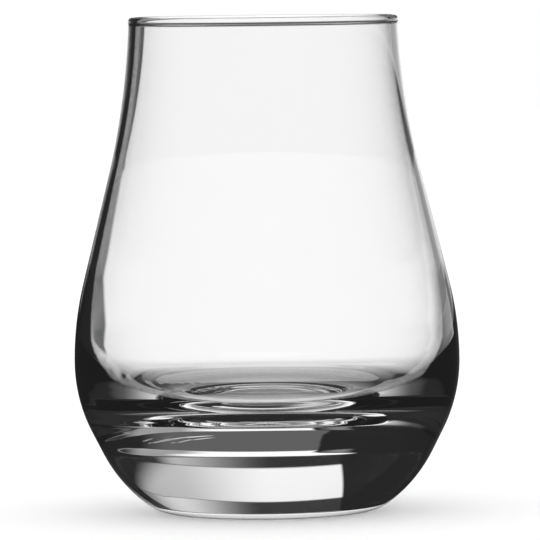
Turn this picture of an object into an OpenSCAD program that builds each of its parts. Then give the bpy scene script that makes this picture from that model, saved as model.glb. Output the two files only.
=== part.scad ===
// Whisky nosing glass: one piece of clear glass with a heavy base, turned about +Z.
// The origin is on the table, at the centre of the ring that the glass stands on.
// Its section is one closed outline of arcs that run into each other without a corner.

/* [Overall] */
// Height from the table to the top of the rim
height = 80; // [72:0.5:90]
// Outer diameter of the bead at the rim
rim_d = 43.6; // [40:0.2:47]
// Outer diameter at the widest part of the bowl
belly_d = 62.2; // [59:0.2:68]
// Height of the widest part above the table
belly_h = 24.5; // [23:0.1:27]
// Diameter of the ring that the glass stands on, at the middle of its flat
foot_d = 29.6; // [26:0.2:33]

/* [Rim] */
// How far the fire-polished bead stands out from the neck
bead_proud = 0.1; // [0.04:0.02:0.16]
// How far the bead stands into the mouth from the neck
bead_inner_proud = 0.19; // [0.1:0.01:0.3]
// Radius of the hollows that run from the bead into the neck, outside and inside
cove_r = 0.8; // [0.5:0.1:1.5]

/* [Bowl, outside] */
// How far the neck still leans inwards at the bead
neck_lean = 2.5; // [0:0.5:4]
// Length of the straight run between the neck and the shoulder
neck_straight = 17.6; // [12:0.2:24]
// Radius of the shoulder above the widest part
shoulder_r = 52; // [40:1:62]
// Radius of the side below the widest part
belly_arc_r = 25; // [22:0.2:28]
// Slope of the straight flank, from upright
flank_angle = 26.8; // [24:0.2:30]
// Length of the straight flank
flank_straight = 3.8; // [1:0.1:5]
// Radius of the edge that rolls under to the foot
foot_arc_r = 7.3; // [5:0.1:9]

/* [Bowl, inside] */
// Thickness of the wall at the top of the neck, just under the bead
neck_wall = 1.15; // [0.95:0.05:1.25]
// Thickness of the wall between the widest parts inside and outside
belly_wall = 2.45; // [2:0.05:3]
// How much higher the widest part is inside than outside
cavity_rise = 4; // [3:0.1:5]
// Length of the straight run of the wall inside the neck
cavity_straight = 18; // [14:0.2:21]
// Radius of the shoulder inside the bowl
cavity_shoulder_r = 55; // [46:1:62]
// Radius of the inside wall below its widest part
cavity_side_r = 17.4; // [14:0.2:24]
// Radius of the corner between the inside wall and the floor
cavity_corner_r = 9.2; // [7:0.1:10.5]
// Radius of the dished floor
floor_dish_r = 600; // [200:10:800]

/* [Base] */
// Thickness of the base from the table to the middle of the floor
floor_h = 16.4; // [15:0.1:20]
// Width of the flat that touches the table
bearing_w = 1; // [0.6:0.1:1.6]
// Radius of the inner edge of the foot
punt_edge_r = 1.8; // [1:0.1:2.4]
// Depth of the hollow under the base
punt_h = 3.4; // [2:0.1:4.5]

/* [Hidden] */

// Largest distance between a chord and its arc
chord_gap = 0.004;
// Tint of the glass and how opaque it is drawn, as shares
glass_tint_share = [0.86, 0.9, 0.91];
glass_opacity_share = 0.4;

rim_r = rim_d / 2;
belly_r = belly_d / 2;
bead_r = (bead_proud + neck_wall + bead_inner_proud) / 2;
bead_c = [rim_r - bead_r, height - bead_r];
neck_r = rim_r - bead_proud;
cavity_r = belly_r - belly_wall;
cavity_h = belly_h + cavity_rise;
bearing_in_r = (foot_d - bearing_w) / 2;
bearing_out_r = (foot_d + bearing_w) / 2;

// An arc or straight between two others takes up to this share of the room there
room_share = 0.9;
corner_r = min(cavity_corner_r, (cavity_h - floor_h) * room_share);

// Direction of a vector, from 0 to 360 degrees
function heading(v) = (atan2(v.y, v.x) + 360) % 360;

// Unit vector at an angle
function unit(a) = [cos(a), sin(a)];

// Points of an arc after its first one, close enough together to stay within chord_gap
function arc(c, r, a0, a1) =
    let (n = ceil(abs(a1 - a0) / (2 * acos(1 - chord_gap / r))))
    [for (i = [1:n]) c + r * unit(a0 + (a1 - a0) * i / n)];

// Centre of a circle at distances ra from a and rb from b, on the right of the way from a to b
function blend_centre(a, ra, b, rb) =
    let (d = norm(b - a), u = (b - a) / d, s = (ra * ra - rb * rb + d * d) / (2 * d))
    a + s * u + sqrt(ra * ra - s * s) * [u.y, -u.x];

// An S of two arcs with a straight between them, from upright at the point p0 up to the
// point p1, where it leans by top_lean. The lower arc has the radius given, and the upper
// one takes the only radius that fits.
// Gives [lower centre, upper centre, upper radius, angle of the straight].
function ogee(p0, p1, lower_r, straight, top_lean) =
    let (c0 = p0 - [lower_r, 0], v = p1 - c0, e = unit(top_lean),
         upper_r = (lower_r * lower_r + straight * straight - v * v) / (2 * (v * e - lower_r)),
         c1 = p1 + upper_r * e)
    [c0, c1, upper_r, heading(c1 - c0) - atan2(straight, lower_r + upper_r)];

// Foot, heel, flank, belly, shoulder and neck, from the table up to the rim. One arc of the
// radius one_arc_r would run from the table straight into the flank. The foot's roll is
// smaller, and the heel is the larger arc between the two.
function outside() =
    let (belly_c = [belly_r - belly_arc_r, belly_h],
         out = unit(-flank_angle),
         belly_end = belly_c + belly_arc_r * out,
         one_arc_r = ((belly_end - [bearing_out_r, 0]) * out) / (1 + out.y),
         flank_room = (belly_end.y - one_arc_r * (1 + out.y)) / out.x,
         flank_end = belly_end + min(flank_straight, flank_room * room_share)
                                 * unit(-90 - flank_angle),
         roll_r = min(foot_arc_r, one_arc_r * room_share),
         foot_c = [bearing_out_r, roll_r],
         w = flank_end - foot_c,
         heel_r = (w * w - roll_r * roll_r) / (2 * (w * out - roll_r)),
         heel_c = flank_end - heel_r * out,
         heel_end = heading(foot_c - heel_c),
         s = ogee([belly_r, belly_h], [neck_r, bead_c.y],
                  shoulder_r, neck_straight, neck_lean),
         cove_c = blend_centre(bead_c, bead_r + cove_r, s[1], s[2] - cove_r),
         neck_end = heading(cove_c - s[1]))
    concat([[bearing_out_r, 0]],
        arc(foot_c, roll_r, 270, heel_end),
        arc(heel_c, heel_r, heel_end, 360 - flank_angle),
        [belly_end],
        arc(belly_c, belly_arc_r, -flank_angle, 0),
        arc(s[0], shoulder_r, 0, s[3]),
        [s[1] - s[2] * unit(s[3])],
        arc(s[1], s[2], 180 + s[3], neck_end),
        arc(cove_c, cove_r, neck_end, heading(bead_c - cove_c)),
        arc(bead_c, bead_r, heading(cove_c - bead_c) - 360, 90));

// Inner half of the bead, neck, shoulder, side, corner and dished floor, down to the axis
function inside() =
    let (s = ogee([cavity_r, cavity_h], [neck_r - neck_wall, bead_c.y],
                  cavity_shoulder_r, cavity_straight, neck_lean),
         cove_c = blend_centre(bead_c, bead_r + cove_r, s[1], s[2] + cove_r),
         bead_end = heading(cove_c - bead_c),
         neck_top = heading(cove_c - s[1]),
         side_c = [cavity_r - cavity_side_r, cavity_h],
         dish_c = [0, floor_h + floor_dish_r],
         corner_c = blend_centre(side_c, cavity_side_r - corner_r,
                                 dish_c, floor_dish_r - corner_r),
         side_end = heading(corner_c - side_c) - 360,
         corner_end = heading(corner_c - dish_c) - 360)
    concat(arc(bead_c, bead_r, 90, bead_end),
        arc(cove_c, cove_r, bead_end - 180, neck_top - 180),
        arc(s[1], s[2], neck_top, 180 + s[3]),
        [s[0] + cavity_shoulder_r * unit(s[3])],
        arc(s[0], cavity_shoulder_r, s[3], 0),
        arc(side_c, cavity_side_r, 0, side_end),
        arc(corner_c, corner_r, side_end, corner_end),
        arc(dish_c, floor_dish_r, corner_end, -90));

// Hollow under the base, from the axis out to the flat that touches the table
function underside() =
    let (rise = punt_h - punt_edge_r,
         dome_r = (bearing_in_r * bearing_in_r + rise * rise - punt_edge_r * punt_edge_r)
                  / (2 * punt_h),
         dome_c = [0, punt_h - dome_r],
         edge_c = [bearing_in_r, punt_edge_r],
         meet = heading(edge_c - dome_c))
    concat([[0, punt_h]],
        arc(dome_c, dome_r, 90, meet),
        arc(edge_c, punt_edge_r, meet + 180, 270));

module nosing_glass() {
    color(glass_tint_share, glass_opacity_share)
        rotate_extrude($fn = 180)
            polygon(concat(outside(), inside(), underside()));
}

nosing_glass();
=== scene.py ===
"""Looks of the whisky nosing glass: one turned piece of clear glass in a plain bright studio."""

from __future__ import annotations

import logging
import math
from dataclasses import dataclass, field
from enum import Enum

import bpy
import numpy as np
from mathutils import Matrix, Vector


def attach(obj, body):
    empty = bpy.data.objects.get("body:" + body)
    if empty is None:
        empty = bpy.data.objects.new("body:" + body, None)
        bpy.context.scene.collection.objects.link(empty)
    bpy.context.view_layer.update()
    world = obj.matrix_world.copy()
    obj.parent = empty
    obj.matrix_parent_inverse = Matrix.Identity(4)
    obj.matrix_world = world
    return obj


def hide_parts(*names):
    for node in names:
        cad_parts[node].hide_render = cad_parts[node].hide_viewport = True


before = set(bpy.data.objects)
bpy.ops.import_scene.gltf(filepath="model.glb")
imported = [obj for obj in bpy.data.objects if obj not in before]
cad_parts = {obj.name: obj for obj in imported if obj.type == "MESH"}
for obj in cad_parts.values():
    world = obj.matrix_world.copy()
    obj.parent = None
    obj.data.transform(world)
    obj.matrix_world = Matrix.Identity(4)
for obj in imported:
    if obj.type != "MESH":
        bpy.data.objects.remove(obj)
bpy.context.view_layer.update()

LOG = logging.getLogger("nosing_glass")
BODY = "root"
NODE = "nosing_glass"
MM = 0.001

# Where a smooth step begins and ends, the lower value first
Edge = tuple[float, float]
Colour = tuple[float, float, float, float]


class RayKind(Enum):
    """Kinds of ray that the studio answers in their own way."""

    CAMERA = "Is Camera Ray"
    GLOSSY = "Is Glossy Ray"
    TRANSMISSION = "Is Transmission Ray"


class RayCount(Enum):
    """Counts of what a ray has met on its way."""

    MATT = "Diffuse Depth"
    MIRRORED = "Glossy Depth"
    PASSED = "Transmission Depth"


class MathStep(Enum):
    """Operations of the Math node that the signals use."""

    ADD = "ADD"
    SUBTRACT = "SUBTRACT"
    MULTIPLY = "MULTIPLY"
    MAXIMUM = "MAXIMUM"
    MINIMUM = "MINIMUM"
    ABSOLUTE = "ABSOLUTE"
    SQUARE_ROOT = "SQRT"
    ARC_SINE = "ARCSINE"
    ARC_TANGENT = "ARCTAN2"
    DEGREES = "DEGREES"


class Signal:
    """A number in a node tree, whose arithmetic adds nodes."""

    def __init__(self, tree: bpy.types.NodeTree, socket: bpy.types.NodeSocket) -> None:
        """Keeps the tree and the socket that the number comes out of."""
        self.tree = tree
        self.socket = socket

    def math(self, operation: MathStep, *others: Signal | float) -> Signal:
        """One Math node on this signal.

        Args:
            operation: What the node does.
            others: Signals or plain numbers for its further inputs.

        Returns:
            The node's result.
        """
        node = self.tree.nodes.new("ShaderNodeMath")
        node.operation = operation.value
        self.tree.links.new(self.socket, node.inputs[0])
        for place, other in enumerate(others, start=1):
            if isinstance(other, Signal):
                self.tree.links.new(other.socket, node.inputs[place])
            else:
                node.inputs[place].default_value = other
        return Signal(self.tree, node.outputs[0])

    def __add__(self, other: Signal | float) -> Signal:
        """Sum."""
        return self.math(MathStep.ADD, other)

    def __mul__(self, other: Signal | float) -> Signal:
        """Product."""
        return self.math(MathStep.MULTIPLY, other)

    def __sub__(self, other: Signal | float) -> Signal:
        """Difference."""
        return self.math(MathStep.SUBTRACT, other)

    def most(self, other: Signal | float) -> Signal:
        """The larger of the two."""
        return self.math(MathStep.MAXIMUM, other)

    def least(self, other: Signal | float) -> Signal:
        """The smaller of the two."""
        return self.math(MathStep.MINIMUM, other)

    def unsigned(self) -> Signal:
        """This number without its sign."""
        return self.math(MathStep.ABSOLUTE)

    def inverse(self) -> Signal:
        """What this share leaves of 1."""
        return self * -1.0 + 1.0

    def bearing(self, ahead: Signal) -> Signal:
        """Angle in degrees from straight ahead, this much to the right and the given ahead."""
        return self.math(MathStep.ARC_TANGENT, ahead).math(MathStep.DEGREES)

    def rise(self, low: float, high: float) -> Signal:
        """Smooth step from 0 at low to 1 at high."""
        return self.step(low, high, 0.0, 1.0)

    def fall(self, low: float, high: float) -> Signal:
        """Smooth step from 1 at low to 0 at high."""
        return self.step(low, high, 1.0, 0.0)

    def step(self, low: float, high: float, before: float, after: float) -> Signal:
        """Smooth step, which stays level outside its two ends.

        Args:
            low: Value of this signal where the step begins.
            high: Value of this signal where the step ends.
            before: Result up to low.
            after: Result from high on.

        Returns:
            The result of the Map Range node.
        """
        node = self.tree.nodes.new("ShaderNodeMapRange")
        node.interpolation_type = "SMOOTHSTEP"
        node.inputs["From Min"].default_value = low
        node.inputs["From Max"].default_value = high
        node.inputs["To Min"].default_value = before
        node.inputs["To Max"].default_value = after
        self.tree.links.new(self.socket, node.inputs["Value"])
        return Signal(self.tree, node.outputs["Result"])

    def blend(self, share: Signal, target: Signal | float) -> Signal:
        """Mix of this signal and a target.

        Args:
            share: 0 where this signal stays and 1 where the target takes over.
            target: Signal or plain number.

        Returns:
            The result of the Mix node.
        """
        node = self.tree.nodes.new("ShaderNodeMix")
        node.data_type = "FLOAT"
        self.tree.links.new(share.socket, node.inputs["Factor"])
        self.tree.links.new(self.socket, node.inputs["A"])
        if isinstance(target, Signal):
            self.tree.links.new(target.socket, node.inputs["B"])
        else:
            node.inputs["B"].default_value = target
        return Signal(self.tree, node.outputs["Result"])


def unit(angle: float) -> np.ndarray:
    """Unit vector at an angle in degrees."""
    return np.array([math.cos(math.radians(angle)), math.sin(math.radians(angle))])


def heading(vector: np.ndarray) -> float:
    """Direction of a vector, from 0 to 360 degrees."""
    return math.degrees(math.atan2(vector[1], vector[0])) % 360


def blend_centre(a: np.ndarray, ra: float, b: np.ndarray, rb: float) -> np.ndarray:
    """Centre of the circle that joins two others, on the right of the way from a to b.

    The foot of the centre on the line a-b lies (ra^2 - rb^2 + d^2) / 2d along it, where d is
    the distance from a to b, and the centre stands off the line by Pythagoras.

    Args:
        a: First centre.
        ra: Distance from it.
        b: Second centre.
        rb: Distance from it.

    Returns:
        The joining circle's centre.
    """
    d = float(np.linalg.norm(b - a))
    along = (b - a) / d
    s = (ra * ra - rb * rb + d * d) / (2 * d)
    return a + s * along + math.sqrt(ra * ra - s * s) * np.array([along[1], -along[0]])


@dataclass(frozen=True)
class Ogee:
    """An S of two arcs with a straight between them, which leans at the angle turn."""

    low: np.ndarray
    high: np.ndarray
    high_r: float
    turn: float

    @classmethod
    def between(cls, foot: np.ndarray, top: np.ndarray, low_r: float, straight: float,
                top_lean: float) -> Ogee:
        """The S from upright at its foot to a lean at its top.

        The upper radius is the only one that puts the two centres at the distance at which a
        common tangent of the given length fits between the arcs.

        Args:
            foot: Point where the S starts upright.
            top: Point where it ends.
            low_r: Radius of the lower arc.
            straight: Length of the straight.
            top_lean: Lean at the top, in degrees.

        Returns:
            Centres of the lower and upper arc, upper radius and angle of the straight.
        """
        low = foot - np.array([low_r, 0.0])
        v = top - low
        e = unit(top_lean)
        high_r = (low_r**2 + straight**2 - v @ v) / (2 * (v @ e - low_r))
        high = top + high_r * e
        turn = heading(high - low) - math.degrees(math.atan2(straight, low_r + high_r))
        return cls(low, high, high_r, turn)


@dataclass(frozen=True)
class ClearGlass:
    """Finish of clear, fire-polished soda glass. Scales are per metre, the depth in metres.

    The emission strength lost_light makes each surface glow faintly: a painted glow that stands in
    for a little of the light that a path loses when it is cut short inside the heavy base.
    """

    colour: Colour = (1.0, 1.0, 1.0, 1.0)
    ior: float = 1.52
    roughness: float = 0.0
    lost_light: float = 0.0016
    polish_scale: float = 160.0
    polish_detail: float = 2.0
    polish_edge: Edge = (0.35, 0.75)
    polish_spread: float = 0.012
    wave_scale: float = 55.0
    wave_detail: float = 1.0
    wave_depth: float = 0.000006

    def material(self) -> bpy.types.Material:
        """Builds the glass material."""
        mat = bpy.data.materials.new("clear_glass")
        mat.use_nodes = True
        shader = mat.node_tree.nodes["Principled BSDF"]
        shader.inputs["Base Color"].default_value = self.colour
        shader.inputs["Transmission Weight"].default_value = 1.0
        shader.inputs["IOR"].default_value = self.ior
        shader.inputs["Roughness"].default_value = self.roughness
        # Faint emission: a painted glow on the glass, in place of light lost inside the base
        shader.inputs["Emission Color"].default_value = self.colour
        shader.inputs["Emission Strength"].default_value = self.lost_light
        self.vary(mat.node_tree, shader)
        return mat

    def vary(self, tree: bpy.types.NodeTree, shader: bpy.types.ShaderNode) -> None:
        """Gives the surface a faint polish pattern and a very shallow waviness.

        Args:
            tree: Node tree of the material.
            shader: Shader whose roughness and normal vary.
        """
        polish = self.noise(tree, self.polish_scale, self.polish_detail)
        spread = polish.rise(*self.polish_edge) * self.polish_spread
        tree.links.new((spread + self.roughness).socket, shader.inputs["Roughness"])
        wave = self.noise(tree, self.wave_scale, self.wave_detail)
        bump = tree.nodes.new("ShaderNodeBump")
        bump.inputs["Strength"].default_value = 1.0
        bump.inputs["Distance"].default_value = self.wave_depth
        tree.links.new(wave.socket, bump.inputs["Height"])
        tree.links.new(bump.outputs["Normal"], shader.inputs["Normal"])

    def noise(self, tree: bpy.types.NodeTree, scale: float, detail: float) -> Signal:
        """Noise fixed to the glass, from 0 to 1.

        Args:
            tree: Node tree of the material.
            scale: Waves per metre.
            detail: Finer layers that are added.

        Returns:
            The noise.
        """
        coords = tree.nodes.new("ShaderNodeTexCoord")
        node = tree.nodes.new("ShaderNodeTexNoise")
        node.inputs["Scale"].default_value = scale
        node.inputs["Detail"].default_value = detail
        tree.links.new(coords.outputs["Object"], node.inputs["Vector"])
        return Signal(tree, node.outputs[0])


@dataclass(frozen=True)
class Cord:
    """A streak in the glass's skin: a packet of fine ripples along the outline and round it.

    Angles are in degrees, seen from above with 0 at +X. Places and the period are in
    millimetres along the outline's run from the axis.
    """

    angle: float
    spread: float
    place: float
    reach: float
    period: float
    twist: float
    slope: float

    def height(self, run: np.ndarray, around: np.ndarray) -> np.ndarray:
        """Height of the ripples in millimetres.

        It is a sine along the run, turned by twist times the angle, within a bell curve in
        the run and in the angle. Its steepest slope is the slope given.

        Args:
            run: Length along the outline from the axis, in millimetres.
            around: Angle round the axis, in radians.

        Returns:
            The height at each pair of run and angle.
        """
        off = (around - math.radians(self.angle) + math.pi) % (2 * math.pi) - math.pi
        bell = np.exp(-(off / math.radians(self.spread))**2 - ((run - self.place) / self.reach)**2)
        size = math.radians(self.slope) * self.period / (2 * math.pi)
        return size * bell * np.sin(2 * math.pi * (run - self.place) / self.period + self.twist * off)


@dataclass
class NosingGlass:
    """The glass, turned about +Z from one closed outline of arcs. Sizes are in millimetres."""

    height: float = 80.0
    rim_d: float = 43.6
    belly_d: float = 62.2
    belly_h: float = 24.5
    foot_d: float = 29.6
    bead_proud: float = 0.1
    bead_inner_proud: float = 0.19
    cove_r: float = 0.8
    neck_lean: float = 2.5
    neck_straight: float = 17.6
    shoulder_r: float = 52.0
    belly_arc_r: float = 25.0
    flank_angle: float = 26.8
    flank_straight: float = 3.8
    foot_arc_r: float = 7.3
    neck_wall: float = 1.15
    belly_wall: float = 2.45
    cavity_rise: float = 4.0
    cavity_straight: float = 18.0
    cavity_shoulder_r: float = 55.0
    cavity_side_r: float = 17.4
    cavity_corner_r: float = 9.2
    floor_dish_r: float = 600.0
    floor_h: float = 16.4
    bearing_w: float = 1.0
    punt_edge_r: float = 1.8
    punt_h: float = 3.4
    room_share: float = 0.9

    # The floor as it was pressed: a level middle, a fall round it, and a run into the corner
    level_r: float = 11.0
    fall_r: float = 110.0
    corner_run: Edge = (16.5, 21.5)
    # Streaks in the skin of the floor and its corner, which fade out at the middle
    floor_cords: tuple[Cord, ...] = (
        Cord(angle=196, spread=26, place=19.5, reach=3.4, period=2.1, twist=5.0, slope=6.0),
        Cord(angle=226, spread=18, place=15.0, reach=3.0, period=1.7, twist=-4.0, slope=4.5),
        Cord(angle=168, spread=18, place=21.5, reach=2.6, period=1.5, twist=7.0, slope=5.0),
        Cord(angle=186, spread=20, place=23.0, reach=3.5, period=3.4, twist=6.0, slope=9.0),
        Cord(angle=212, spread=24, place=18.0, reach=3.0, period=2.6, twist=-5.0, slope=8.0),
        Cord(angle=202, spread=30, place=11.8, reach=2.2, period=2.0, twist=4.0, slope=6.5),
        Cord(angle=222, spread=26, place=9.5, reach=1.8, period=1.5, twist=-3.0, slope=6.0),
        Cord(angle=190, spread=22, place=14.0, reach=2.0, period=1.7, twist=6.0, slope=6.5),
        Cord(angle=332, spread=26, place=22.0, reach=2.4, period=2.6, twist=2.0, slope=1.6),
        Cord(angle=75, spread=60, place=17.0, reach=3.0, period=2.8, twist=1.0, slope=1.2),
    )
    calm_run: float = 3.0

    # How finely the outline is cut, and into how many sides it is turned
    chord_gap: float = 0.0014
    straight_step: float = 1.5
    arc_step: float = 5.0
    floor_step: float = 0.6
    sides: int = 304
    finish: ClearGlass = field(default_factory=ClearGlass)

    def arc(self, c: np.ndarray, r: float, a0: float, a1: float, hollow: bool = False,
            longest: float | None = None) -> np.ndarray:
        """Points of an arc after its first one, with their outward normals.

        A point is the centre plus r times the unit vector at its angle, and its normal is that
        unit vector, turned round where the glass lies outside the arc.

        Args:
            c: Centre.
            r: Radius.
            a0: Angle before the first point.
            a1: Angle of the last point.
            hollow: True where the glass lies on the far side of the arc from its centre.
            longest: Longest step along the arc, or None for arc_step.

        Returns:
            Rows of radius, height and the two parts of the normal.
        """
        longest = longest or self.arc_step
        step = min(2 * math.degrees(math.acos(1 - self.chord_gap / r)), math.degrees(longest / r))
        count = max(1, math.ceil(abs(a1 - a0) / step))
        angles = np.radians(a0 + (a1 - a0) * np.arange(1, count + 1) / count)
        way = np.stack([np.cos(angles), np.sin(angles)], axis=1)
        return np.hstack([c + r * way, -way if hollow else way])

    def line(self, start: np.ndarray, end: np.ndarray) -> np.ndarray:
        """Points of a straight after its start, at even steps, with the normal of its start.

        Args:
            start: Row of the outline's last point.
            end: Radius and height of the straight's end.

        Returns:
            Rows of radius, height and the two parts of the normal.
        """
        count = max(1, math.ceil(float(np.linalg.norm(end - start[:2])) / self.straight_step))
        share = np.arange(1, count + 1)[:, None] / count
        points = start[:2] + (end - start[:2]) * share
        return np.hstack([points, np.repeat(start[None, 2:], count, axis=0)])

    def outside(self) -> np.ndarray:
        """Foot, heel, flank, belly, shoulder and neck, from the table up to the bead.

        One arc of the radius one_arc_r would run from the table straight into the flank. The
        foot's roll is smaller, and the heel is the larger arc between the two.

        Returns:
            Rows of radius, height and the two parts of the normal.
        """
        bearing_out_r = (self.foot_d + self.bearing_w) / 2
        belly_c = np.array([self.belly_d / 2 - self.belly_arc_r, self.belly_h])
        out = unit(-self.flank_angle)
        belly_end = belly_c + self.belly_arc_r * out
        one_arc_r = ((belly_end - [bearing_out_r, 0]) @ out) / (1 + out[1])
        flank_room = (belly_end[1] - one_arc_r * (1 + out[1])) / out[0]
        flank_end = (belly_end + min(self.flank_straight, flank_room * self.room_share)
                     * unit(-90 - self.flank_angle))
        roll_r = min(self.foot_arc_r, one_arc_r * self.room_share)
        foot_c = np.array([bearing_out_r, roll_r])
        w = flank_end - foot_c
        heel_r = (w @ w - roll_r**2) / (2 * (w @ out - roll_r))
        heel_c = flank_end - heel_r * out
        heel_end = heading(foot_c - heel_c)
        bead_c, bead_r = self.bead()
        s = Ogee.between(np.array([self.belly_d / 2, self.belly_h]),
                         np.array([self.neck_edge(), bead_c[1]]),
                         self.shoulder_r, self.neck_straight, self.neck_lean)
        cove_c = blend_centre(bead_c, bead_r + self.cove_r, s.high, s.high_r - self.cove_r)
        neck_end = heading(cove_c - s.high)
        rows = [np.array([[bearing_out_r, 0.0, 0.0, -1.0]]),
                self.arc(foot_c, roll_r, 270, heel_end),
                self.arc(heel_c, heel_r, heel_end, 360 - self.flank_angle)]
        rows.append(self.line(rows[-1][-1], belly_end))
        rows.append(self.arc(belly_c, self.belly_arc_r, -self.flank_angle, 0))
        rows.append(self.arc(s.low, self.shoulder_r, 0, s.turn))
        rows.append(self.line(rows[-1][-1], s.high - s.high_r * unit(s.turn)))
        rows.append(self.arc(s.high, s.high_r, 180 + s.turn, neck_end, hollow=True))
        rows.append(self.arc(cove_c, self.cove_r, neck_end, heading(bead_c - cove_c), hollow=True))
        rows.append(self.arc(bead_c, bead_r, heading(cove_c - bead_c) - 360, 90))
        return np.vstack(rows)

    def inside(self) -> np.ndarray:
        """Inner half of the bead, neck, shoulder, side, corner and floor, down to the axis.

        Returns:
            Rows of radius, height and the two parts of the normal.
        """
        bead_c, bead_r = self.bead()
        cavity_r = self.belly_d / 2 - self.belly_wall
        cavity_h = self.belly_h + self.cavity_rise
        s = Ogee.between(np.array([cavity_r, cavity_h]),
                         np.array([self.neck_edge() - self.neck_wall, bead_c[1]]),
                         self.cavity_shoulder_r, self.cavity_straight, self.neck_lean)
        cove_c = blend_centre(bead_c, bead_r + self.cove_r, s.high, s.high_r + self.cove_r)
        bead_end = heading(cove_c - bead_c)
        neck_top = heading(cove_c - s.high)
        corner_r = min(self.cavity_corner_r, (cavity_h - self.floor_h) * self.room_share)
        side_c = np.array([cavity_r - self.cavity_side_r, cavity_h])
        dish_c = np.array([0.0, self.floor_h + self.floor_dish_r])
        corner_c = blend_centre(side_c, self.cavity_side_r - corner_r,
                                dish_c, self.floor_dish_r - corner_r)
        side_end = heading(corner_c - side_c) - 360
        corner_end = heading(corner_c - dish_c) - 360
        rows = [self.arc(bead_c, bead_r, 90, bead_end),
                self.arc(cove_c, self.cove_r, bead_end - 180, neck_top - 180, hollow=True),
                self.arc(s.high, s.high_r, neck_top, 180 + s.turn)]
        rows.append(self.line(rows[-1][-1], s.low + self.cavity_shoulder_r * unit(s.turn)))
        rows.append(self.arc(s.low, self.cavity_shoulder_r, s.turn, 0, hollow=True))
        rows.append(self.arc(side_c, self.cavity_side_r, 0, side_end, hollow=True))
        corner = self.arc(corner_c, corner_r, side_end, corner_end, hollow=True)
        dish = self.arc(dish_c, self.floor_dish_r, corner_end, -90, hollow=True,
                        longest=self.floor_step)
        rows.append(self.crowned(np.vstack([corner, dish])))
        return np.vstack(rows)

    def crowned(self, rows: np.ndarray) -> np.ndarray:
        """The floor as it was pressed: level in the middle, with a slight fall round it.

        Up to level_r the height is floor_h, and from there it falls by (r - level_r)^2 over
        2 fall_r. Over corner_run a smooth step leads back to the outline's own height. The
        normals turn with the slope that this adds.

        Args:
            rows: Rows of the corner and the dish, whose radius falls all the way to 0.

        Returns:
            The same rows with their new heights and normals.
        """
        r, z = rows[:, 0], rows[:, 1]
        start, end = self.corner_run
        share = np.clip((r - start) / (end - start), 0, 1)
        share = share * share * (3 - 2 * share)
        fall = np.maximum(r - self.level_r, 0)
        level = self.floor_h - fall * fall / (2 * self.fall_r)
        added = (level - z) * (1 - share)
        slope = np.gradient(added, r)
        slope[-1] = 0.0
        normal = rows[:, 2:] - np.stack([slope, np.zeros_like(slope)], axis=1) * rows[:, 3:]
        normal /= np.linalg.norm(normal, axis=1)[:, None]
        return np.hstack([r[:, None], (z + added)[:, None], normal])

    def underside(self) -> np.ndarray:
        """Hollow under the base, from the axis out to the flat that touches the table.

        The dome's radius is the one at which it meets the arc of the foot's inner edge.

        Returns:
            Rows of radius, height and the two parts of the normal.
        """
        bearing_in_r = (self.foot_d - self.bearing_w) / 2
        rise = self.punt_h - self.punt_edge_r
        dome_r = (bearing_in_r**2 + rise**2 - self.punt_edge_r**2) / (2 * self.punt_h)
        dome_c = np.array([0.0, self.punt_h - dome_r])
        edge_c = np.array([bearing_in_r, self.punt_edge_r])
        meet = heading(edge_c - dome_c)
        return np.vstack([np.array([[0.0, self.punt_h, 0.0, -1.0]]),
                          self.arc(dome_c, dome_r, 90, meet, hollow=True),
                          self.arc(edge_c, self.punt_edge_r, meet + 180, 270)])

    def bead(self) -> tuple[np.ndarray, float]:
        """Centre and radius of the bead at the rim."""
        bead_r = (self.bead_proud + self.neck_wall + self.bead_inner_proud) / 2
        return np.array([self.rim_d / 2 - bead_r, self.height - bead_r]), bead_r

    def neck_edge(self) -> float:
        """Outer radius of the neck at the height of the bead's centre."""
        return self.rim_d / 2 - self.bead_proud

    def ripples(self, rows: np.ndarray, around: np.ndarray
                ) -> tuple[np.ndarray, np.ndarray, np.ndarray]:
        """Height of the streaks on each vertex off the axis, and its two slopes.

        The run is measured along the outline from the middle of the floor. The slopes are
        differences of the height along the outline and round the axis.

        Args:
            rows: Rows of the whole outline.
            around: Angles round the axis, in radians.

        Returns:
            Height, slope along the outline towards its end, and slope round the axis.
        """
        steps = np.linalg.norm(np.diff(rows[:, :2], axis=0), axis=1)
        run = np.concatenate([np.cumsum(steps[::-1])[::-1], [0.0]])[1:-1, None]
        height = sum(cord.height(run, around[None, :]) for cord in self.floor_cords)
        height = height * np.clip(run / self.calm_run, 0, 1)
        along = np.gradient(height, -run[:, 0], axis=0)
        per_step = self.sides / (4 * math.pi)
        across = (np.roll(height, -1, axis=1) - np.roll(height, 1, axis=1)) * per_step
        return height, along, across / rows[1:-1, :1]

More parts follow.
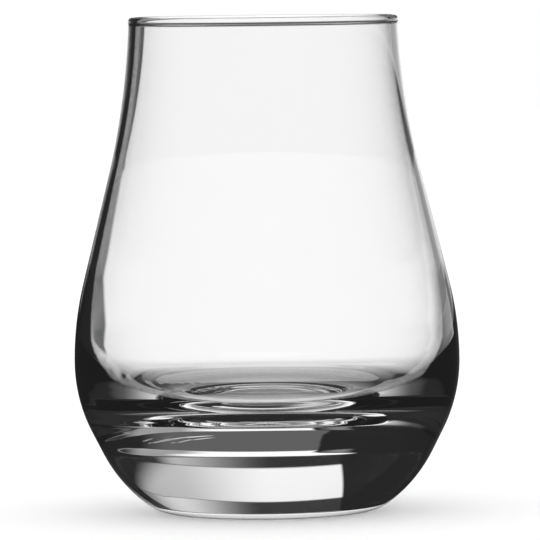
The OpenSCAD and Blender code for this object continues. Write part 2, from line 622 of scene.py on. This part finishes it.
    def skin(self, rows: np.ndarray) -> tuple[np.ndarray, np.ndarray]:
        """Vertices and normals of the outline turned about +Z.

        A vertex is (r cos t, r sin t, z) for each outline point (r, z) and each of the even
        angles t, lifted along its normal by the streaks. The outline's two points on the axis
        are single poles, which come last.

        Args:
            rows: Rows of the whole outline.

        Returns:
            Places in metres, and unit normals.
        """
        inner = rows[1:-1]
        t = np.arange(self.sides) * 2 * math.pi / self.sides
        cos, sin = np.cos(t), np.sin(t)
        lift, along, across = self.ripples(rows, t)
        tangent = np.stack([-inner[:, 3], inner[:, 2]], axis=1)
        bent = inner[:, None, 2:] - along[:, :, None] * tangent[:, None, :]
        normals = np.stack([bent[:, :, 0] * cos + across * sin,
                            bent[:, :, 0] * sin - across * cos, bent[:, :, 1]], axis=2)
        normals /= np.linalg.norm(normals, axis=2)[:, :, None]
        rings = np.stack([inner[:, :1] * cos, inner[:, :1] * sin,
                          np.repeat(inner[:, 1:2], self.sides, axis=1)], axis=2)
        rings = rings + lift[:, :, None] * normals
        ends = rows[[0, -1]]
        poles = np.stack([[0.0, 0.0], [0.0, 0.0], ends[:, 1]], axis=1)
        pole_normals = np.stack([[0.0, 0.0], [0.0, 0.0], ends[:, 3]], axis=1)
        return (np.vstack([rings.reshape(-1, 3), poles]) * MM,
                np.vstack([normals.reshape(-1, 3), pole_normals]))

    def faces(self, rings: int) -> list[list[int]]:
        """Quads between neighbouring rings and a fan to each pole, all facing outwards.

        Args:
            rings: Number of rings of vertices.

        Returns:
            The vertex numbers of each face.
        """
        row = np.arange(rings - 1)[:, None] * self.sides
        col = np.arange(self.sides)
        nxt = (col + 1) % self.sides
        quads = np.stack([row + col, row + nxt, row + nxt + self.sides, row + col + self.sides],
                         axis=2).reshape(-1, 4)
        top = (rings - 1) * self.sides
        first = rings * self.sides
        start = np.stack([np.full(self.sides, first), nxt, col], axis=1)
        end = np.stack([np.full(self.sides, first + 1), top + col, top + nxt], axis=1)
        return quads.tolist() + start.tolist() + end.tolist()

    def mesh(self) -> bpy.types.Mesh:
        """The closed skin as a smooth mesh, shaded with the outline's own normals."""
        rows = np.vstack([self.underside(), self.outside(), self.inside()])
        verts, normals = self.skin(rows)
        mesh = bpy.data.meshes.new("nosing_glass_body")
        mesh.from_pydata(verts.tolist(), [], self.faces(len(rows) - 2))
        mesh.polygons.foreach_set("use_smooth", np.ones(len(mesh.polygons), dtype=bool))
        mesh.normals_split_custom_set_from_vertices(normals.tolist())
        mesh.update()
        return mesh

    def build(self) -> bpy.types.Object:
        """Makes the glass and puts it in the place of the CAD solid."""
        glass = bpy.data.objects.new("nosing_glass_body", self.mesh())
        bpy.context.scene.collection.objects.link(glass)
        glass.data.materials.append(self.finish.material())
        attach(glass, BODY)
        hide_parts(NODE)
        return glass


@dataclass(frozen=True)
class GlassView:
    """Signals for what the camera sees in and through the glass.

    Light on its way to a matt surface is left out of seen, so the shade of the glass on the
    table stays as light as clear glass makes it. The signal seen is 1 on rays that the glass
    reflects or passes, passed on those that it passed last, straight on those that it only
    passed, without a reflection on the way, and bowl on the straight ones that crossed the
    cavity. The side and back edges are angles round the glass, in degrees off straight behind
    it. The crossed edge lies between the 2 surfaces that a ray passes in one wall and the 4
    that it passes in both walls.
    """

    seen: Signal
    passed: Signal
    straight: Signal
    bowl: Signal
    side_edge: Edge = (31.0, 37.0)
    back_edge: Edge = (78.0, 88.0)
    crossed_edge: Edge = (2.9, 3.1)

    @classmethod
    def of(cls, tree: bpy.types.NodeTree) -> GlassView:
        """Makes the signals from a Light Path node.

        Args:
            tree: Node tree that gets the node.

        Returns:
            The signals.
        """
        path = tree.nodes.new("ShaderNodeLightPath")
        passed = Signal(tree, path.outputs[RayKind.TRANSMISSION.value])
        either = passed.most(Signal(tree, path.outputs[RayKind.GLOSSY.value]))
        matt = Signal(tree, path.outputs[RayCount.MATT.value]).least(1.0)
        mirrored = Signal(tree, path.outputs[RayCount.MIRRORED.value]).least(1.0)
        straight = passed * mirrored.inverse()
        crossed = Signal(tree, path.outputs[RayCount.PASSED.value]).rise(*cls.crossed_edge)
        return cls(either * matt.inverse(), passed, straight, straight * crossed)

    def clear(self, turned: Signal, low: Signal) -> Signal:
        """Share of the plain room that clear glass shows at an angle off the still's view.

        Args:
            turned: Angle round the glass, in degrees off straight behind it.
            low: Signal that is 1 where a ray goes far and low, as it does through the mouth.

        Returns:
            The share, from 0 to 1.
        """
        aside = turned.rise(*self.side_edge)
        return (aside * self.bowl).most(aside * self.straight * low).most(
            turned.rise(*self.back_edge) * self.straight)


@dataclass(frozen=True)
class TableTop:
    """Plain pale surface that the glass stands on, with painted shade that only the glass shows of
    it.

    Sizes are in metres, and angles in degrees off straight behind the glass, to the right.
    Tones are linear, with 1 as white. The surface itself is plain: only rays that have met
    the glass find the painted shade on it, which is fixed in place and glows by emission.
    """

    half: float = 2.5
    colour: Colour = (0.95, 0.95, 0.95, 1.0)
    roughness: float = 0.9
    specular: float = 0.1
    white: float = 0.96
    black: float = 0.016

    # Painted shadow under the foot: a dark disc, which grows lighter outwards in two steps
    foot_shadow_tone: float = 0.03
    foot_shadow_edge: Edge = (0.018, 0.042)
    foot_shadow_gain: float = 0.82
    shadow_rim_edge: Edge = (0.042, 0.060)
    shadow_rim_gain: float = 0.26
    # Painted shade of the flag on the left and painted grey shade of the fade on the right, which
    # begin beside the glass
    flag_x: float = 0.030
    flag_reach: Edge = (0.040, 0.070)
    flag_edge: Edge = (-11.0, -9.0)
    flag_shade_tone: float = 0.008
    right_edge: Edge = (10.0, 24.0)
    right_end: Edge = (36.0, 50.0)
    right_shade_gain: float = 0.32
    right_shade_tone: float = 0.04
    # Painted shade that falls towards the front and the sides, and the tone that is left for rays
    # that were reflected
    front_edge: Edge = (-0.020, 0.028)
    mirrored_shade_tone: float = 0.06
    side_edge: Edge = (30.0, 72.0)
    side_shade_tone: float = 0.14
    # Pale parts that show from above and from the other sides, where the painted shade is lifted
    mouth_edge: Edge = (0.050, 0.060)
    disc_edge: Edge = (0.016, 0.022)
    disc_share: float = 0.26
    near_edge: Edge = (-0.016, 0.010)
    near_share: float = 0.8
    ring_edge: Edge = (0.045, 0.070)
    far_edge: Edge = (0.10, 0.14)

    def build(self) -> bpy.types.Object:
        """Makes the surface."""
        mesh = bpy.data.meshes.new("table_top")
        h = self.half
        mesh.from_pydata([(-h, -h, 0), (h, -h, 0), (h, h, 0), (-h, h, 0)], [], [(0, 1, 2, 3)])
        top = bpy.data.objects.new("table_top", mesh)
        bpy.context.scene.collection.objects.link(top)
        mat = bpy.data.materials.new("matt_white")
        mat.use_nodes = True
        shader = mat.node_tree.nodes["Principled BSDF"]
        shader.inputs["Base Color"].default_value = self.colour
        shader.inputs["Roughness"].default_value = self.roughness
        shader.inputs["Specular IOR Level"].default_value = self.specular
        self.dress(mat.node_tree, shader)
        mesh.materials.append(mat)
        return top

    def dress(self, tree: bpy.types.NodeTree, shader: bpy.types.ShaderNode) -> None:
        """Shows the painted shade, as emission, only to rays that have met the glass, and the plain
        surface to others.

        Args:
            tree: Node tree of the material.
            shader: Shader of the plain surface.
        """
        coords = tree.nodes.new("ShaderNodeTexCoord")
        parts = tree.nodes.new("ShaderNodeSeparateXYZ")
        tree.links.new(coords.outputs["Object"], parts.inputs[0])
        x, y = Signal(tree, parts.outputs[0]), Signal(tree, parts.outputs[1])
        reach = (x * x + y * y).math(MathStep.SQUARE_ROOT)
        view = GlassView.of(tree)
        tone = self.behind(x, y, reach, view).blend(self.pale(x, y, reach, view), self.white)
        # The painted shade glows by emission, and only rays that have met the glass see it
        glow = tree.nodes.new("ShaderNodeEmission")
        tree.links.new(tone.most(self.black).socket, glow.inputs["Color"])
        mix = tree.nodes.new("ShaderNodeMixShader")
        tree.links.new(view.seen.socket, mix.inputs["Fac"])
        tree.links.new(shader.outputs[0], mix.inputs[1])
        tree.links.new(glow.outputs[0], mix.inputs[2])
        tree.links.new(mix.outputs[0], tree.nodes["Material Output"].inputs["Surface"])

    def behind(self, x: Signal, y: Signal, reach: Signal, view: GlassView) -> Signal:
        """Painted shade of the surface as the still finds it in the glass.

        It falls with the distance from the axis to a painted shadow under the foot, and has painted
        dark shade in the sector that the left flag covers and painted grey shade in the one on the
        right.

        Args:
            x: Place to the right.
            y: Place to the back.
            reach: Distance from the axis.
            view: Signals of the rays.

        Returns:
            The tone.
        """
        # Painted shadow under the foot, dark at the axis and lighter outwards
        under = (reach.rise(*self.foot_shadow_edge) * self.foot_shadow_gain) + self.foot_shadow_tone
        under = under + reach.rise(*self.shadow_rim_edge) * self.shadow_rim_gain
        # Painted dark shade in the left flag's sector, and painted grey shade on the right
        outer = reach.rise(*self.flag_reach)
        flag = (x + self.flag_x).bearing(y).fall(*self.flag_edge) * outer
        right = (x - self.flag_x).bearing(y)
        grey = (right.fall(*self.right_end) * self.right_shade_gain) + self.right_shade_tone
        tone = under.blend(right.rise(*self.right_edge) * outer, grey).blend(flag, self.flag_shade_tone)
        # Painted shade: darker towards the front and the sides, and darker still for rays that the
        # glass reflected
        front = view.passed * (1.0 - self.mirrored_shade_tone) + self.mirrored_shade_tone
        side = x.bearing(y).unsigned().rise(*self.side_edge)
        tone = tone * (front * y.rise(*self.front_edge))
        return tone * ((side * (self.side_shade_tone - 1.0)) + 1.0)

    def pale(self, x: Signal, y: Signal, reach: Signal, view: GlassView) -> Signal:
        """Share of white that clear glass shows of the surface from above and from other sides.

        Through the mouth the surface is white all over. Through the wall the painted shadow under
        the foot and the painted shade in front turn pale, where the still doesn't find them, and the
        surface is white in a ring at the sides and the back.

        Args:
            x: Place to the right.
            y: Place to the back.
            reach: Distance from the axis.
            view: Signals of the rays.

        Returns:
            The share, from 0 to 1.
        """
        mouth = (view.straight - view.bowl) * reach.fall(*self.mouth_edge)
        below = (reach.fall(*self.disc_edge) * self.disc_share).most(
            y.fall(*self.near_edge) * self.near_share)
        below = (view.straight * below).most(mouth)
        turned = x.bearing(y).unsigned()
        ring = view.clear(turned, reach.rise(*self.far_edge)) * reach.rise(*self.ring_edge)
        return below.most(ring)


@dataclass(frozen=True)
class Studio:
    """White room round the glass, with a soft panel behind it and a dark flag on its left.

    Directions are in degrees: azimuth 0 is straight behind the glass and positive to the
    right, and elevation is above the horizon. Tones are linear, with 1 as white. The camera
    and the table find the room plain white, and only rays that have met the glass find the
    tones below.
    """

    camera_white: float = 1.0
    table_light: float = 1.2
    black: float = 0.016

    # White sweep along the horizon, and its grey end on the right
    sweep_edge: Edge = (2.2, 3.2)
    sweep_tone: float = 1.07
    sweep_right: Edge = (12.0, 22.0)
    sweep_end: Edge = (34.0, 46.0)
    sweep_gain: float = 0.34
    sweep_grey: float = 0.04
    # Edges of the wall and the panel rise a little to both sides, up to bow_end from the middle
    bow: float = 0.0022
    bow_end: float = 40.0
    # Grey wall with a bright strip, and the dark gap between the strip and the panel
    strip_low: Edge = (18.2, 18.7)
    strip_high: Edge = (19.5, 20.0)
    strip_gain: float = 0.75
    wall_tone: float = 0.12
    wall_right: Edge = (22.0, 40.0)
    gap_gain: float = 0.5
    gap_right: Edge = (24.0, 34.0)
    gap_tone: float = 0.03
    # Soft panel, which fades to the right and ends there on a slant
    panel_low: Edge = (23.1, 23.9)
    panel_high: Edge = (35.8, 36.6)
    panel_fade: Edge = (-2.0, 28.0)
    panel_loss: float = -0.42
    slant: float = 1.5
    slant_edge: Edge = (-14.0, 4.0)
    # Dark ceiling, which is lighter on the right
    ceiling_tone: float = 0.045
    ceiling_gain: float = 0.75
    ceiling_right: Edge = (2.0, 32.0)
    ceiling_loss: float = -0.7
    ceiling_end: Edge = (34.0, 56.0)
    ceiling_high: Edge = (60.0, 80.0)
    # Left flag, whose edge leans, and the dim strip that shows beyond it
    flag_lean: float = 0.385
    flag_left: float = 9.75
    flag_edge: Edge = (-0.6, 0.6)
    dim_start: Edge = (-11.0, -7.0)
    dim_end: Edge = (-2.0, -0.6)
    dim_fade: Edge = (-6.0, -1.0)
    dim_gain: float = 0.18
    dim_tone: float = 0.05
    # Dark room round the sides, and the plain pale one that clear glass shows from there
    round_edge: Edge = (86.0, 94.0)
    round_tone: float = 0.02
    low_edge: Edge = (3.5, 6.0)
    round_panel_high: Edge = (36.4, 37.2)
    round_panel: Edge = (78.0, 88.0)
    round_panel_tone: float = 0.9
    pale_tone: float = 0.14
    roof_edge: Edge = (50.0, 58.0)
    roof_tone: float = 0.04
    # Soft light overhead
    overhead_edge: Edge = (56.0, 68.0)
    overhead_tone: float = 0.9

    def build(self) -> bpy.types.World:
        """Builds the world and makes it the scene's."""
        world = bpy.data.worlds.new("studio")
        world.use_nodes = True
        tree = world.node_tree
        tree.nodes.clear()
        out = tree.nodes.new("ShaderNodeOutputWorld")
        back = tree.nodes.new("ShaderNodeBackground")
        tree.links.new(back.outputs[0], out.inputs["Surface"])
        coords = tree.nodes.new("ShaderNodeTexCoord")
        parts = tree.nodes.new("ShaderNodeSeparateXYZ")
        tree.links.new(coords.outputs["Generated"], parts.inputs[0])
        x, y, z = (Signal(tree, parts.outputs[k]) for k in range(3))
        azimuth = x.bearing(y)
        elevation = z.math(MathStep.ARC_SINE).math(MathStep.DEGREES)
        view = GlassView.of(tree)
        tone = self.all_round(self.behind(azimuth, elevation), azimuth, elevation, view)
        camera = Signal(tree, tree.nodes["Light Path"].outputs[RayKind.CAMERA.value])
        plain = (camera * (self.camera_white - self.table_light)) + self.table_light
        tree.links.new(plain.blend(view.seen, tone).socket, back.inputs["Color"])
        bpy.context.scene.world = world
        return world

    def behind(self, azimuth: Signal, elevation: Signal) -> Signal:
        """Tone of the half of the room that the still finds in the glass.

        Upwards it has the white sweep, the grey wall with its bright strip, the dark gap, the
        soft panel and the dark ceiling, all from the edge of the left flag to the right.

        Args:
            azimuth: Azimuth of the ray.
            elevation: Elevation of the ray.

        Returns:
            The tone.
        """
        level = elevation - (azimuth * azimuth).least(self.bow_end**2) * self.bow
        to_right = azimuth.rise(*self.panel_fade)
        sweep = elevation.fall(*self.sweep_edge) * self.sweep_tone
        strip = level.rise(*self.strip_low) * level.fall(*self.strip_high)
        wall = (strip * self.strip_gain) + self.wall_tone
        wall = wall * azimuth.fall(*self.wall_right)
        gap = level.rise(*self.strip_high) * level.fall(*self.panel_low)
        dark = to_right * self.gap_gain * azimuth.fall(*self.gap_right) + self.gap_tone
        wall = wall.blend(gap, dark) * level.fall(*self.panel_low)
        panel = level.rise(*self.panel_low) * level.fall(*self.panel_high)
        panel = panel * ((to_right * self.panel_loss) + 1.0)
        panel = panel * (azimuth - elevation * self.slant).fall(*self.slant_edge)
        ceiling = (azimuth.rise(*self.ceiling_right) * self.ceiling_gain) + self.ceiling_tone
        ceiling = level.rise(*self.panel_high) * ceiling
        ceiling = ceiling * ((azimuth.rise(*self.ceiling_end) * self.ceiling_loss) + 1.0)
        ceiling = ceiling * elevation.fall(*self.ceiling_high)
        back = sweep.most(wall).most(panel).most(ceiling)
        grey = (azimuth.fall(*self.sweep_end) * self.sweep_gain) + self.sweep_grey
        back = back.blend(azimuth.rise(*self.sweep_right) * sweep, grey)
        past_flag = azimuth + elevation * self.flag_lean + self.flag_left
        dim = past_flag.rise(*self.dim_start) * past_flag.fall(*self.dim_end)
        dim = dim * elevation.fall(*self.sweep_edge)
        dim = dim * ((past_flag.fall(*self.dim_fade) * self.dim_gain) + self.dim_tone)
        return (back * past_flag.rise(*self.flag_edge) + dim).most(self.black)

    def all_round(self, tone: Signal, azimuth: Signal, elevation: Signal,
                  view: GlassView) -> Signal:
        """Adds the rest of the room, which shows in the glass from other sides and from above.

        Round the sides the room is dark, but for a white sweep and a panel that clear glass
        shows from there. The light overhead is one that only the outer skin mirrors.

        Args:
            tone: Tone of the half behind the glass.
            azimuth: Azimuth of the ray.
            elevation: Elevation of the ray.
            view: Signals of the rays.

        Returns:
            The tone of the whole room.
        """
        turned = azimuth.unsigned()
        tone = tone.blend(turned.rise(*self.round_edge), self.round_tone)
        low = elevation.fall(*self.low_edge)
        panel = elevation.rise(*self.panel_low) * elevation.fall(*self.round_panel_high)
        panel = panel * turned.rise(*self.round_panel)
        plain = low.most(panel * self.round_panel_tone).most(self.pale_tone)
        tone = tone.blend(view.clear(turned, low), plain)
        tone = tone.blend(elevation.rise(*self.roof_edge), self.roof_tone)
        mirrored = view.seen - view.passed
        return tone.blend(elevation.rise(*self.overhead_edge) * mirrored, self.overhead_tone)


@dataclass(frozen=True)
class StillCamera:
    """Long lens a little above the rim, at the still's viewing angle.

    Sizes are in metres, the roll in degrees and the sensor in millimetres.
    """

    distance: float = 1.0
    height: float = 0.090
    target: tuple[float, float, float] = (0.00065, 0.0, 0.0390)
    frame_width: float = 0.08721
    roll: float = -0.7
    sensor: float = 36.0
    clip: Edge = (0.05, 20.0)

    def build(self) -> bpy.types.Object:
        """Makes the camera and gives it to the scene."""
        data = bpy.data.cameras.new("still_camera")
        camera = bpy.data.objects.new("still_camera", data)
        bpy.context.scene.collection.objects.link(camera)
        target = Vector(self.target)
        place = Vector((self.target[0], -self.distance, self.height))
        look = (target - place).to_track_quat("-Z", "Y").to_matrix().to_4x4()
        turn = Matrix.Rotation(math.radians(self.roll), 4, "Z")
        camera.matrix_world = Matrix.Translation(place) @ look @ turn
        data.sensor_width = self.sensor
        data.lens = self.sensor * (target - place).length / self.frame_width
        data.clip_start, data.clip_end = self.clip
        bpy.context.scene.camera = camera
        return camera


def main() -> None:
    """Builds the studio and the glass, and reports each piece."""
    logging.basicConfig(level=logging.INFO, format="%(name)s: %(message)s")
    bpy.context.scene.view_settings.view_transform = "Standard"
    camera = StillCamera().build()
    LOG.info("camera %s", camera.name)
    world = Studio().build()
    LOG.info("world %s", world.name)
    table = TableTop().build()
    LOG.info("stage %s", table.name)
    glass = NosingGlass().build()
    LOG.info("piece %s, %d faces", glass.name, len(glass.data.polygons))


if __name__ == "__main__":
    main()
